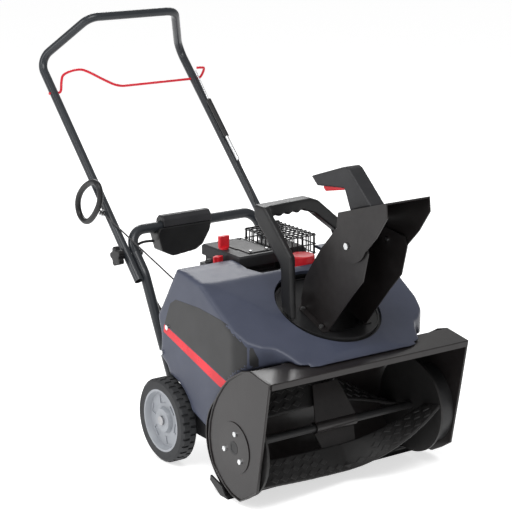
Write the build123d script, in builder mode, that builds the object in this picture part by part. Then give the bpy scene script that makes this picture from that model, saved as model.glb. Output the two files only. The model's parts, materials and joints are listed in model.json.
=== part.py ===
"""Single stage snowblower, built as it comes apart on a bench.

Millimetres. +Z is up, the auger mouth faces -Y and the operator stands at +Y.
The origin is on the ground, under the middle of the machine's outline.
"""

from build123d import *
from math import atan2, cos, degrees, pi, radians, sin
import os

os.makedirs("parts", exist_ok=True)

# ---------------------------------------------------------------- driving sizes
CLEARING_WIDTH = 560  # over the side plates
PLATE_T = 3
PLATE_OUT = CLEARING_WIDTH / 2
PLATE_IN = PLATE_OUT - PLATE_T
SHEET = 2.5

AUGER_Y = -381
AUGER_Z = 130
AUGER_R = 115
SHAFT_R = 9.5
RUN_FIT = 0.05  # radial clearance of a running fit
BELT_X = 250  # middle of the belt plane

WHEEL_Y = -73
WHEEL_R = 101.6
TYRE_W = 43
WHEEL_OUT = 286
RIM_R = 76
AXLE_R = 8

CRANK_Y = -60
CRANK_Z = 300
CRANK_R = 12.5

HOOD_HALF = 262
HOOD_T = 4
DECK_Z = 155

CHUTE_Y = -348
CHUTE_Z = 397
CHUTE_TILT = 20
RING_R = 121
RING_T = 3
NECK_R = 80
CHUTE_HALF = 55
DEFLECTOR_HALF = 60
TILT_Y = -497  # deflector hinge
TILT_Z = 587

LOWER_TUBE_R = 12.7
LOWER_HALF = 190
UPPER_TUBE_R = 11.1
UPPER_HALF = LOWER_HALF + LOWER_TUBE_R + UPPER_TUBE_R + 0.4
CROSSBAR_Y = 218
CROSSBAR_Z = 493
FOLD_Y = 190  # bolt that the upper handle folds about
FOLD_Z = 442
BEND_Y = 626  # rear-most bend of the upper handle
LEG_SLOPE = 44.6
BAIL_DOWN_LEG = 108  # bail axis, measured down the leg from the bend
BOLT_R = 4

GROUND = 0
LEG = (cos(radians(LEG_SLOPE)), sin(radians(LEG_SLOPE)))
BEND_Z = FOLD_Z + (BEND_Y - FOLD_Y) * LEG[1] / LEG[0]
BAIL_Y = BEND_Y - BAIL_DOWN_LEG * LEG[0]
BAIL_Z = BEND_Z - BAIL_DOWN_LEG * LEG[1]

RING_PLANE = Plane(
    origin=(0, CHUTE_Y, CHUTE_Z),
    x_dir=(1, 0, 0),
    z_dir=(0, -sin(radians(CHUTE_TILT)), cos(radians(CHUTE_TILT))),
)


def keep(piece, name):
    """Label a finished piece and write it."""
    piece.part.label = name
    export_step(piece.part, f"parts/{name}.step")


def mirrored(points):
    """A half outline with its mirror image across the middle plane."""
    return points + [(-x, y) for x, y in reversed(points) if x != 0]


def leg_point(x, down, proud=0):
    """A point beside a handle leg: down from the bend, and proud of the leg's top."""
    y = BEND_Y - down * LEG[0] - proud * LEG[1]
    z = BEND_Z - down * LEG[1] + proud * LEG[0]
    return (x, y, z)


def swept_tube(points, radii, outer, inner=0):
    """A round bar or tube along straight runs joined by tangent arcs."""
    with BuildPart() as piece:
        with BuildLine() as path:
            FilletPolyline(*points, radius=radii)
        with BuildSketch(Plane(origin=path.line @ 0, z_dir=path.line % 0)):
            Circle(outer)
            if inner:
                Circle(inner, mode=Mode.SUBTRACT)
        sweep()
    return piece


def round_bar(start, end, radius):
    """A straight round bar between two points."""
    along = Vector(*end) - Vector(*start)
    with BuildPart() as piece:
        with BuildSketch(Plane(origin=start, z_dir=along)):
            Circle(radius)
        extrude(amount=along.length)
    return piece


# ------------------------------------------------------------- auger housing
LIP_Y = -520
WINDOW_X = (BELT_X - 13, BELT_X + 12)

with BuildPart() as auger_housing:
    with BuildSketch(Plane.YZ):
        with BuildLine():
            Polyline((LIP_Y, 303), (LIP_Y, 315), (-447, 325), (-380, 295), (-338, 257.5), (-301, 218))
            ThreePointArc((-301, 218), (-270, 172.8), (-262, 130))
            ThreePointArc((-262, 130), (-273.2, 79.7), (-304.5, 38.8))
            Line((-304.5, 38.8), (-341, 8.5))
            offset(amount=SHEET, side=Side.LEFT)
        make_face()
    extrude(amount=PLATE_IN, both=True)
    # discharge hole up to the chute
    with BuildSketch(RING_PLANE.offset(-200)):
        Circle(NECK_R)
    extrude(amount=220, mode=Mode.SUBTRACT)
    # window that the belt leaves through
    with BuildSketch(Plane.YZ.offset(WINDOW_X[0])):
        Polygon((-400, 20), (-300, 20), (-240, 60), (-240, 300), (-350, 300), (-350, 240), align=None)
    extrude(amount=WINDOW_X[1] - WINDOW_X[0], mode=Mode.SUBTRACT)
keep(auger_housing, "auger_housing")

for side, name in ((-1, "side_plate_right"), (1, "side_plate_left")):
    with BuildPart() as side_plate:
        with BuildSketch(Plane.YZ.offset(side * (PLATE_IN + PLATE_T / 2))) as outline:
            with BuildLine():
                Line((LIP_Y, 317), (-445, 328))
                ThreePointArc((-445, 328), (-383, 301), (-336, 261))
                ThreePointArc((-336, 261), (-293, 198), (-278, 129))
                ThreePointArc((-278, 129), (-314, 45), (-404, 9))
                Polyline((-404, 9), (-472, 50), (LIP_Y, 317))
            make_face()
        extrude(amount=PLATE_T / 2, both=True)
        # pressed boss round the auger bearing
        with BuildSketch(Plane.YZ.offset(side * PLATE_OUT)):
            with Locations((AUGER_Y, AUGER_Z)):
                Circle(60)
        extrude(amount=side * 2)
        with BuildSketch(Plane.YZ.offset(side * (PLATE_IN - 1))):
            with Locations((AUGER_Y, AUGER_Z)):
                Circle(16)
        extrude(amount=side * 10, mode=Mode.SUBTRACT)
    keep(side_plate, name)

with BuildPart() as scraper_bar:
    with BuildSketch(Plane.YZ):
        Polygon((-362, GROUND), (-336, GROUND), (-330, 6.2), (-354, 6.2), align=None)
    extrude(amount=PLATE_OUT + 5, both=True)
    # a turned-up shoe outside each plate
    for side in (-1, 1):
        with BuildSketch(Plane.YZ.offset(side * (PLATE_OUT + 0.3))):
            Polygon((-354, GROUND), (-330, GROUND), (-288, 24), (-290, 36), (-336, 24), align=None)
        extrude(amount=side * 4.7)
keep(scraper_bar, "scraper_bar")

with BuildPart() as auger_bearings:
    for side in (-1, 1):
        with BuildSketch(Plane.YZ.offset(side * (PLATE_IN - 3.5))):
            with Locations((AUGER_Y, AUGER_Z)):
                Circle(15.8)
                Circle(SHAFT_R + RUN_FIT, mode=Mode.SUBTRACT)
        extrude(amount=side * 9)
keep(auger_bearings, "auger_bearings")

BEARING_BOLT_R = 36
with BuildPart() as housing_bolts:
    for side in (-1, 1):
        with BuildSketch(Plane.YZ.offset(side * (PLATE_OUT + 2.2))):
            with Locations((AUGER_Y, AUGER_Z)):
                with PolarLocations(BEARING_BOLT_R, 3, start_angle=102):
                    RegularPolygon(6.5, 6)
        extrude(amount=side * 3.6)
        # screws along the hood's rear edge
        with BuildSketch(Plane.YZ.offset(side * (HOOD_HALF + 0.2))):
            with Locations((-50, 262), (-75, 330)):
                Circle(6)
        extrude(amount=side * 4)
keep(housing_bolts, "housing_bolts")

GUARD_R = 100
with BuildPart() as belt_cover:
    with BuildSketch(Plane.YZ.offset(BELT_X - 14)):
        with Locations((AUGER_Y, AUGER_Z)):
            Circle(GUARD_R)
    extrude(amount=PLATE_IN - BELT_X + 13.8)
    with BuildSketch(Plane.YZ.offset(BELT_X - 11)):
        with Locations((AUGER_Y, AUGER_Z)):
            Circle(GUARD_R - 3)
    extrude(amount=60, mode=Mode.SUBTRACT)
    with BuildSketch(Plane.YZ.offset(BELT_X - 20)):
        with Locations((AUGER_Y, AUGER_Z)):
            Circle(SHAFT_R + 1)
    extrude(amount=20, mode=Mode.SUBTRACT)
    with BuildSketch(Plane.YZ.offset(BELT_X - 11)):
        Polygon((-395, 20), (-240, 20), (-240, 260), (-395, 260), align=None)
    extrude(amount=60, mode=Mode.SUBTRACT)
keep(belt_cover, "belt_cover")

# ------------------------------------------------------------- auger
LEFT_END = BELT_X - 18
RIGHT_END = PLATE_IN - 7
DISC_T = 6
PADDLE_ANGLE = 241  # the lower paddle points down and a little forward
TWIST = {-1: 22, 1: 75}  # how far each half of a band winds back round the shaft
BAND_STEPS = 4

with BuildPart() as auger_shaft:
    with BuildSketch(Plane.YZ.offset(-PLATE_OUT - 2)):
        with Locations((AUGER_Y, AUGER_Z)):
            Circle(SHAFT_R)
    extrude(amount=2 * PLATE_OUT + 4)
keep(auger_shaft, "auger_shaft")

with BuildPart() as auger_discs:
    for start in (-RIGHT_END, LEFT_END - DISC_T):
        with BuildSketch(Plane.YZ.offset(start)):
            with Locations((AUGER_Y, AUGER_Z)):
                Circle(AUGER_R)
                Circle(SHAFT_R, mode=Mode.SUBTRACT)
        extrude(amount=DISC_T)
keep(auger_discs, "auger_discs")

with BuildPart() as auger_bands:
    for start in (PADDLE_ANGLE, PADDLE_ANGLE + 180):
        for side, end in ((-1, RIGHT_END - DISC_T), (1, LEFT_END - DISC_T)):
            for step in range(BAND_STEPS + 1):
                turn = radians(start - TWIST[side] * step / BAND_STEPS)
                place = Plane(
                    origin=(side * end * step / BAND_STEPS, AUGER_Y, AUGER_Z),
                    x_dir=(0, cos(turn), sin(turn)),
                    z_dir=(1, 0, 0),
                )
                with BuildSketch(place):
                    with Locations((82, 0)):
                        Rectangle(64, 9)
            loft()
keep(auger_bands, "auger_bands")

with BuildPart() as paddle_plates:
    for start in (PADDLE_ANGLE, PADDLE_ANGLE + 180):
        turn = radians(start)
        place = Plane(
            origin=(0, AUGER_Y, AUGER_Z), x_dir=(1, 0, 0), z_dir=(0, -sin(turn), cos(turn))
        ).offset(7.5)
        out = 1 if place.y_dir.dot(Vector(0, cos(turn), sin(turn))) > 0 else -1
        with BuildSketch(place):
            Polygon((-58, out * 10), (58, out * 10), (36, out * 96), (-36, out * 96), align=None)
        extrude(amount=3)
    with BuildSketch(Plane.YZ.offset(-58)):
        with Locations((AUGER_Y, AUGER_Z)):
            Circle(14)
            Circle(SHAFT_R, mode=Mode.SUBTRACT)
    extrude(amount=116)
keep(paddle_plates, "paddle_plates")

AUGER_PULLEY_R = 85
ENGINE_PULLEY_R = 27
BELT_T = 8
BELT_W = 10
BELT_GAP = 0.5


def pulley(y, z, radius, width, bore):
    """A V-groove pulley about the X axis, its groove at the belt plane."""
    half = width / 2
    with BuildPart() as wheel:
        with BuildSketch(Plane.XZ.offset(-y)):
            with BuildLine():
                Polyline(
                    (BELT_X - half, z + bore),
                    (BELT_X - half, z + radius + 6),
                    (BELT_X - half + 1, z + radius + 6),
                    (BELT_X - 5.4, z + radius - BELT_T / 2 - 0.5),
                    (BELT_X + 5.4, z + radius - BELT_T / 2 - 0.5),
                    (BELT_X + half - 1, z + radius + 6),
                    (BELT_X + half, z + radius + 6),
                    (BELT_X + half, z + bore),
                    close=True,
                )
            make_face()
        revolve(axis=Axis((0, y, z), (1, 0, 0)))
    return wheel


auger_pulley = pulley(AUGER_Y, AUGER_Z, AUGER_PULLEY_R, 16, SHAFT_R)
keep(auger_pulley, "auger_pulley")
engine_pulley = pulley(CRANK_Y, CRANK_Z, ENGINE_PULLEY_R, 16, CRANK_R)
keep(engine_pulley, "engine_pulley")

with BuildPart() as drive_belt:
    for grow, mode in ((BELT_T / 2, Mode.ADD), (-BELT_T / 2, Mode.SUBTRACT)):
        with BuildSketch(Plane.YZ.offset(BELT_X - BELT_W / 2)):
            span = ((CRANK_Y - AUGER_Y) ** 2 + (CRANK_Z - AUGER_Z) ** 2) ** 0.5
            lean = atan2(CRANK_Z - AUGER_Z, CRANK_Y - AUGER_Y)
            open_angle = atan2(AUGER_PULLEY_R - ENGINE_PULLEY_R, span)
            edge = []
            for turn in (lean + pi / 2 + open_angle, lean - pi / 2 - open_angle):
                for y, z, radius in (
                    (AUGER_Y, AUGER_Z, AUGER_PULLEY_R),
                    (CRANK_Y, CRANK_Z, ENGINE_PULLEY_R),
                ):
                    reach = radius + grow + BELT_GAP
                    edge.append((y + reach * cos(turn), z + reach * sin(turn)))
            Polygon(edge[0], edge[1], edge[3], edge[2], align=None)
            for y, z, radius in (
                (AUGER_Y, AUGER_Z, AUGER_PULLEY_R),
                (CRANK_Y, CRANK_Z, ENGINE_PULLEY_R),
            ):
                with Locations((y, z)):
                    Circle(radius + grow + BELT_GAP)
        extrude(amount=BELT_W, mode=mode)
keep(drive_belt, "drive_belt")

# belt tensioner on the chassis rail
IDLER_PIVOT = (-175, 138)
IDLER_AXIS = (-212, 113)
with BuildPart() as idler_arm:
    with BuildSketch(Plane.YZ.offset(238)):
        for y, z in (IDLER_PIVOT, IDLER_AXIS):
            with Locations((y, z)):
                Circle(10)
        lean = atan2(IDLER_PIVOT[1] - IDLER_AXIS[1], IDLER_PIVOT[0] - IDLER_AXIS[0])
        middle = ((IDLER_PIVOT[0] + IDLER_AXIS[0]) / 2, (IDLER_PIVOT[1] + IDLER_AXIS[1]) / 2)
        with Locations(Location((*middle, 0), (0, 0, degrees(lean)))):
            Rectangle(42, 16)
        with Locations(IDLER_PIVOT):
            Circle(BOLT_R + RUN_FIT, mode=Mode.SUBTRACT)
    extrude(amount=4)
    with BuildSketch(Plane.YZ.offset(242)):
        with Locations(IDLER_AXIS):
            Circle(5)
    extrude(amount=14)
keep(idler_arm, "idler_arm")

with BuildPart() as idler_pulley:
    with BuildSketch(Plane.YZ.offset(BELT_X - 6.5)):
        with Locations(IDLER_AXIS):
            Circle(20)
            Circle(5 + RUN_FIT, mode=Mode.SUBTRACT)
    extrude(amount=12)
keep(idler_pulley, "idler_pulley")

# ------------------------------------------------------------- chassis and wheels
RAIL_OUT = 236
with BuildPart() as chassis:
    with BuildSketch(Plane.YZ):
        Polygon((-258, 84), (-20, 84), (-20, DECK_Z), (-258, DECK_Z), align=None)
    extrude(amount=RAIL_OUT, both=True)
    with BuildSketch(Plane.YZ):
        Polygon((-270, 60), (0, 60), (0, DECK_Z - PLATE_T), (-270, DECK_Z - PLATE_T), align=None)
    extrude(amount=RAIL_OUT - PLATE_T, both=True, mode=Mode.SUBTRACT)
    with BuildSketch(Plane.YZ):
        with Locations((WHEEL_Y, WHEEL_R)):
            Circle(AXLE_R + RUN_FIT)
    extrude(amount=300, both=True, mode=Mode.SUBTRACT)
    # pivot stud of the belt tensioner
    with BuildSketch(Plane.YZ.offset(RAIL_OUT - 1)):
        with Locations(IDLER_PIVOT):
            Circle(BOLT_R)
    extrude(amount=7.5)
keep(chassis, "chassis")

with BuildPart() as wheel_axle:
    with BuildSketch(Plane.YZ):
        with Locations((WHEEL_Y, WHEEL_R)):
            Circle(AXLE_R)
    extrude(amount=WHEEL_OUT - 5, both=True)
    for side in (-1, 1):
        with BuildSketch(Plane.YZ.offset(side * (WHEEL_OUT - 5))):
            with Locations((WHEEL_Y, WHEEL_R)):
                Circle(11)
        extrude(amount=side * 4)
keep(wheel_axle, "wheel_axle")

TREAD_LUGS = 32
for side, tag in ((-1, "right"), (1, "left")):
    inner_x = side * (WHEEL_OUT - TYRE_W)
    with BuildPart() as tyre:
        with BuildSketch(Plane.XZ.offset(-WHEEL_Y)):
            with BuildLine():
                outer_x = side * WHEEL_OUT
                Polyline(
                    (inner_x, WHEEL_R + RIM_R + 0.05),
                    (inner_x, WHEEL_R + 94),
                    (inner_x + side * 6, WHEEL_R + WHEEL_R),
                    (outer_x - side * 6, WHEEL_R + WHEEL_R),
                    (outer_x, WHEEL_R + 94),
                    (outer_x - side * 1, WHEEL_R + RIM_R + 0.05),
                    close=True,
                )
            make_face()
        revolve(axis=Axis((0, WHEEL_Y, WHEEL_R), (1, 0, 0)))
        # grooves across the tread
        for row, shift in ((0, 0), (1, 0.5)):
            start = inner_x + side * (3 + row * TYRE_W / 2 - row * 2)
            with BuildSketch(Plane.YZ.offset(start)):
                with Locations((WHEEL_Y, WHEEL_R)):
                    with PolarLocations(WHEEL_R + 1, TREAD_LUGS, start_angle=shift * 360 / TREAD_LUGS + 5.6):
                        Rectangle(8, 6)
            extrude(amount=side * (TYRE_W / 2 - 4), mode=Mode.SUBTRACT)
    keep(tyre, f"tyre_{tag}")

    with BuildPart() as rim:
        with BuildSketch(Plane.XZ.offset(-WHEEL_Y)):
            with BuildLine():
                Polyline(
                    (inner_x + side * 2, WHEEL_R + AXLE_R + RUN_FIT),
                    (inner_x + side * 2, WHEEL_R + 20),
                    (inner_x + side * 20, WHEEL_R + 22),
                    (inner_x + side * 20, WHEEL_R + 70),
                    (inner_x + side * 2, WHEEL_R + 72),
                    (inner_x + side * 2, WHEEL_R + RIM_R),
                    (side * (WHEEL_OUT - 1.5), WHEEL_R + RIM_R),
                    (side * (WHEEL_OUT - 1.5), WHEEL_R + 71),
                    (side * (WHEEL_OUT - 16), WHEEL_R + 66),
                    (side * (WHEEL_OUT - 16), WHEEL_R + 32),
                    (side * (WHEEL_OUT - 6), WHEEL_R + 28),
                    (side * (WHEEL_OUT - 6), WHEEL_R + AXLE_R + RUN_FIT),
                    close=True,
                )
            make_face()
        revolve(axis=Axis((0, WHEEL_Y, WHEEL_R), (1, 0, 0)))
        # pockets between the spokes
        with BuildSketch(Plane.YZ.offset(side * (WHEEL_OUT - 18))):
            with Locations((WHEEL_Y, WHEEL_R)):
                with PolarLocations(50, 6, start_angle=15):
                    Rectangle(20, 24)
        extrude(amount=side * 10, mode=Mode.SUBTRACT)
    keep(rim, f"rim_{tag}")

# ------------------------------------------------------------- hood
SIDE_TOP = [(-496, 322), (-486, 340), (-455, 357), (-225, 466), (-115, 482)]
PLAN = [(262, -360), (240, -400), (198, -424), (180, -452), (170, -478), (148, -494)]
OPENING_RIGHT = -111
OPENING_LEFT = 134
OPENING_FRONT = -218
DISH_R = 128


def shoulder(side, inward):
    """The plane of a sloping shoulder, moved inward by a distance."""
    return Plane(
        origin=(side * 250, -213, 472), z_dir=(side * 0.154, -0.507, 0.848)
    ).offset(-inward)


def hood_form(inward, outline, plan):
    """The hood's outer form, or the hollow inside it, without its openings."""
    with BuildPart() as form:
        with BuildSketch(Plane.YZ):
            Polygon(*outline, align=None)
        extrude(amount=HOOD_HALF - inward, both=True)
        with BuildSketch(Plane.XY.offset(60)):
            Polygon(*plan, align=None)
        extrude(amount=460, mode=Mode.INTERSECT)
        for side in (-1, 1):
            with BuildSketch(shoulder(side, inward)):
                Rectangle(1500, 1500)
            extrude(amount=400, mode=Mode.SUBTRACT)
    return form.part


front_edge = -500
outer_outline = SIDE_TOP + [
    (-56, 391),
    (-28, 350),
    (-46, 295),
    (-37, 251),
    (-64, 238),
    (-83, 215),
    (-141, 192),
    (-179, 141),
    (-240, 129),
    (-255, 160),
    (-290, 222),
    (-332, 267),
    (-376, 302),
    (-447, 331),
]
inner_outline = [
    (-560, 60),
    (-560, 318),
    (-492, 318),
    (-482.5, 336.8),
    (-453, 353),
    (-224, 461.8),
    (-114, 477.9),
    (60, 477.9),
    (60, 60),
]
outer_plan = mirrored([(HOOD_HALF, 60)] + PLAN + [(0, front_edge)])
inner_plan = mirrored(
    [(258, 60), (258, -361), (237.5, -396.5), (195, -420.5), (176, -451), (166, -476), (146, -490), (0, -496)]
)
hood_outer = hood_form(0, outer_outline, outer_plan)
hood_inner = hood_form(HOOD_T, inner_outline, inner_plan)
with BuildPart() as hood:
    add(hood_outer)
    add(hood_inner, mode=Mode.SUBTRACT)
    # the engine stands up through the top
    with BuildSketch(Plane.XY.offset(300)):
        Polygon(
            (OPENING_RIGHT, 60),
            (OPENING_RIGHT, -185),
            (OPENING_RIGHT + 20, OPENING_FRONT),
            (OPENING_LEFT - 30, OPENING_FRONT),
            (OPENING_LEFT, -180),
            (OPENING_LEFT, 60),
            align=None,
        )
    extrude(amount=250, mode=Mode.SUBTRACT)
    # round dish for the chute
    with BuildSketch(RING_PLANE.offset(-14)):
        Circle(DISH_R)
    extrude(amount=80, mode=Mode.SUBTRACT)
keep(hood, "hood")

with BuildPart() as chute_base:
    with BuildSketch(RING_PLANE.offset(-11)):
        Circle(DISH_R - 0.5)
    extrude(amount=11 - RING_T - 1)
    with BuildSketch(RING_PLANE.offset(-150)):
        Circle(NECK_R + 3)
    extrude(amount=145)
    with BuildSketch(RING_PLANE.offset(-200)):
        Circle(NECK_R)
    extrude(amount=240, mode=Mode.SUBTRACT)
    # the neck stops at the housing's skin
    with BuildSketch(Plane.YZ):
        Polygon(
            (-521, 300),
            (-521, 318.5),
            (-447, 328.5),
            (-377.5, 297.5),
            (-335, 259.5),
            (-298, 219.5),
            (-272, 190),
            (-255, 100),
            (-400, 60),
            align=None,
        )
    extrude(amount=200, both=True, mode=Mode.SUBTRACT)
keep(chute_base, "chute_base")

# ------------------------------------------------------------- chute
with BuildPart() as chute_ring:
    with BuildSketch(RING_PLANE.offset(-RING_T)):
        Circle(RING_R)
        with Locations((0, -32)):
            RectangleRounded(106, 106, 20, mode=Mode.SUBTRACT)
    extrude(amount=2 * RING_T)
    with BuildSketch(RING_PLANE.offset(RING_T)):
        Circle(RING_R)
        Circle(RING_R - 3, mode=Mode.SUBTRACT)
    extrude(amount=3)
keep(chute_ring, "chute_ring")

CHUTE_FRONT = [(-414, 360), (-440, 392), (-507, 472), (-548, 517), (-565, 583)]
CHUTE_BACK = [(-449, 617), (-432, 597), (-396, 560), (-360, 513), (-337, 480), (-323, 430), (-323, 380)]
with BuildPart() as chute:
    with BuildSketch(Plane.YZ):
        Polygon(*CHUTE_FRONT, (-556, 606), *CHUTE_BACK, align=None)
    extrude(amount=CHUTE_HALF, both=True)
    inside = [(y - 3.2, z - 1.5) for y, z in CHUTE_BACK]
    with BuildSketch(Plane.YZ):
        Polygon((-418, 340), (-470, 392), (-540, 460), (-640, 530), (-640, 640), (-456, 640), *inside, (-326.2, 340), align=None)
    extrude(amount=CHUTE_HALF - 2.8, both=True, mode=Mode.SUBTRACT)
    with BuildSketch(RING_PLANE.offset(RING_T)):
        Rectangle(400, 400)
    extrude(amount=-120, mode=Mode.SUBTRACT)
    # flange that bolts to the ring
    with BuildSketch(RING_PLANE.offset(RING_T)):
        with Locations((0, -32)):
            RectangleRounded(140, 128, 24)
            RectangleRounded(106, 106, 20, mode=Mode.SUBTRACT)
        with Locations((0, -92)):
            Rectangle(160, 20, mode=Mode.SUBTRACT)
    extrude(amount=2.5)
    with BuildSketch(Plane.YZ):
        with Locations((TILT_Y, TILT_Z)):
            Circle(BOLT_R + RUN_FIT)
    extrude(amount=80, both=True, mode=Mode.SUBTRACT)
keep(chute, "chute")

with BuildPart() as chute_bolts:
    with BuildSketch(RING_PLANE.offset(RING_T + 2.7)):
        with Locations((-62, 12), (62, 12), (-62, -62), (62, -62)):
            RegularPolygon(5.5, 6)
    extrude(amount=4)
    # hinge bolts of the deflector
    for side in (-1, 1):
        with BuildSketch(Plane.YZ.offset(side * (CHUTE_HALF - 7))):
            with Locations((TILT_Y, TILT_Z)):
                Circle(BOLT_R)
        extrude(amount=side * (DEFLECTOR_HALF - CHUTE_HALF + 10))
        with BuildSketch(Plane.YZ.offset(side * (DEFLECTOR_HALF + 0.6))):
            with Locations((TILT_Y, TILT_Z)):
                RegularPolygon(8, 6)
        extrude(amount=side * 4)
keep(chute_bolts, "chute_bolts")

POST_X = 110
BAR_T = 16
with BuildPart() as grab_handle:
    with BuildSketch(Plane.YZ.offset(-POST_X - BAR_T / 2)):
        Polygon(
            (-371, 384),
            (-330, 399),
            (-326, 514),
            (-222, 606),
            (-222, 636),
            (-262, 636),
            (-366, 540),
            align=None,
        )
    extrude(amount=BAR_T)
    with BuildSketch(Plane.XZ.offset(260)):
        Polygon((-118, 606), (-118, 636), (16, 640), (40, 632), (118, 566), (118, 545), (102, 545), (30, 602), (6, 610), align=None)
    extrude(amount=-38)
    with BuildSketch(Plane.YZ.offset(POST_X - BAR_T / 2)):
        Polygon((-260, 572), (-222, 572), (-222, 540), (-317, 444), (-307, 410), (-334, 399), (-350, 448), align=None)
    extrude(amount=BAR_T)
    with BuildSketch(RING_PLANE.offset(RING_T + 3.3)):
        Rectangle(500, 500)
    extrude(amount=-80, mode=Mode.SUBTRACT)
    # finger grooves under the grip
    with BuildSketch(Plane.XZ.offset(300)):
        with Locations((-82, 603), (-57, 604), (-32, 605), (-7, 606)):
            Circle(9)
    extrude(amount=-100, mode=Mode.SUBTRACT)
keep(grab_handle, "grab_handle")

ROOF = [(-463, 656), (-629, 708), (-633, 675), (-598, 625), (-560, 586)]
with BuildPart() as deflector:
    with BuildSketch(Plane.YZ):
        with BuildLine():
            Polyline(*ROOF)
            ThreePointArc(ROOF[-1], (-533, 558), (-487, 557))
            Polyline((-487, 557), (-462, 600), (-458, 627), ROOF[0])
        make_face()
    extrude(amount=DEFLECTOR_HALF, both=True)
    with BuildSketch(Plane.YZ):
        Polygon((-466, 653.5), (-700, 726.5), (-700, 500), (-440, 500), (-440, 618), (-461, 627), align=None)
    extrude(amount=DEFLECTOR_HALF - 2.8, both=True, mode=Mode.SUBTRACT)
    with BuildSketch(Plane.YZ):
        with Locations((TILT_Y, TILT_Z)):
            Circle(BOLT_R + RUN_FIT)
    extrude(amount=80, both=True, mode=Mode.SUBTRACT)
keep(deflector, "deflector")

GRIP_HALF = 20
with BuildPart() as deflector_handle:
    with BuildSketch(Plane.YZ):
        Polygon(
            (-453.5, 653.2),
            (-527, 676.3),
            (-447, 745),
            (-436, 749),
            (-424, 746),
            (-308, 706),
            (-331, 687),
            (-431, 699),
            align=None,
        )
    extrude(amount=GRIP_HALF, both=True)
    # pocket for the trigger
    with BuildSketch(Plane.YZ):
        Polygon((-340, 660), (-340, 702), (-418, 718), (-429, 709), (-429, 660), align=None)
    extrude(amount=13, both=True, mode=Mode.SUBTRACT)
    with BuildSketch(Plane.YZ):
        with Locations((-421, 705)):
            Circle(2)
    extrude(amount=15, both=True)
keep(deflector_handle, "deflector_handle")

with BuildPart() as deflector_trigger:
    with BuildSketch(Plane.YZ):
        Polygon((-425, 704), (-423, 698), (-416, 691), (-352, 677), (-344, 684), (-344, 691), (-416, 709), (-423, 709), align=None)
        with Locations((-421, 705)):
            Circle(2 + RUN_FIT, mode=Mode.SUBTRACT)
    extrude(amount=11.5, both=True)
keep(deflector_trigger, "deflector_trigger")

# ------------------------------------------------------------- handles
lower_half = [
    (-LOWER_HALF, -60, 119),
    (-LOWER_HALF, 12, 140),
    (-LOWER_HALF, 68, 246),
    (-LOWER_HALF, 148, 400),
    (-LOWER_HALF, FOLD_Y, FOLD_Z),
    (-LOWER_HALF, CROSSBAR_Y, CROSSBAR_Z),
]
lower_path = lower_half + [(-x, y, z) for x, y, z in reversed(lower_half)]
lower_radii = [50, 90, 60, 20, 40, 40, 20, 60, 90, 50]
with BuildPart() as lower_handle:
    add(swept_tube(lower_path, lower_radii, LOWER_TUBE_R, LOWER_TUBE_R - 1.6).part)
    with BuildSketch(Plane.YZ):
        with Locations((FOLD_Y, FOLD_Z)):
            Circle(BOLT_R + RUN_FIT)
    extrude(amount=300, both=True, mode=Mode.SUBTRACT)
keep(lower_handle, "lower_handle")

leg_end = leg_point(-UPPER_HALF, 690)
upper_half = [leg_end, (-UPPER_HALF, BEND_Y, BEND_Z), (-128.6, 505, 990)]
upper_path = upper_half + [(-x, y, z) for x, y, z in reversed(upper_half)]
with BuildPart() as upper_handle:
    add(swept_tube(upper_path, [38, 42, 42, 38], UPPER_TUBE_R, UPPER_TUBE_R - 1.5).part)
    with BuildSketch(Plane.YZ):
        with Locations((FOLD_Y, FOLD_Z)):
            Circle(BOLT_R + RUN_FIT)
        with Locations((BAIL_Y, BAIL_Z)):
            Circle(3.5 + RUN_FIT)
    extrude(amount=300, both=True, mode=Mode.SUBTRACT)
keep(upper_handle, "upper_handle")

KNOB_IN = UPPER_HALF + UPPER_TUBE_R + 1.2
with BuildPart() as handle_bolts:
    for side in (-1, 1):
        with BuildSketch(Plane.YZ.offset(side * (LOWER_HALF - LOWER_TUBE_R - 1))):
            with Locations((FOLD_Y, FOLD_Z)):
                Circle(BOLT_R)
        extrude(amount=side * (KNOB_IN - LOWER_HALF + LOWER_TUBE_R + 20))
        with BuildSketch(Plane.YZ.offset(side * (LOWER_HALF - LOWER_TUBE_R - 4))):
            with Locations((FOLD_Y, FOLD_Z)):
                Circle(9)
        extrude(amount=side * 3.8)
keep(handle_bolts, "handle_bolts")

for side, tag in ((-1, "right"), (1, "left")):
    with BuildPart() as knob:
        with BuildSketch(Plane.YZ.offset(side * KNOB_IN)):
            with Locations((FOLD_Y, FOLD_Z)):
                Circle(10)
        extrude(amount=side * 8)
        with BuildSketch(Plane.YZ.offset(side * (KNOB_IN + 8))):
            with Locations((FOLD_Y, FOLD_Z)):
                Circle(18)
                with PolarLocations(17, 5):
                    Circle(8)
        extrude(amount=side * 15)
        with BuildSketch(Plane.YZ.offset(side * (KNOB_IN - 1))):
            with Locations((FOLD_Y, FOLD_Z)):
                Circle(BOLT_R + RUN_FIT)
        extrude(amount=side * 22, mode=Mode.SUBTRACT)
    keep(knob, f"knob_{tag}")

# control bail: a bar through both legs with a hand loop on the right and a crank on the left
ROD_R = 3.5
LEFT_CRANK_UP = 36  # high enough to pass over the leg when the bail is squeezed
bail_route = [
    (-UPPER_HALF - 14, 0, 0),
    (-193, 0, 0),
    (-176, 48, 12),
    (-122, 58, 16),
    (-78, 34, 9),
    (-22, 0, 0),
    (UPPER_HALF + 22, 0, 0),
    (UPPER_HALF + 25, 8, 34),
    (213, 9, LEFT_CRANK_UP),
]
bail_points = [leg_point(x, BAIL_DOWN_LEG - up, proud) for x, up, proud in bail_route]
control_bail = swept_tube(bail_points, [9, 14, 22, 22, 22, 10, 9], ROD_R)
keep(control_bail, "control_bail")

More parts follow.
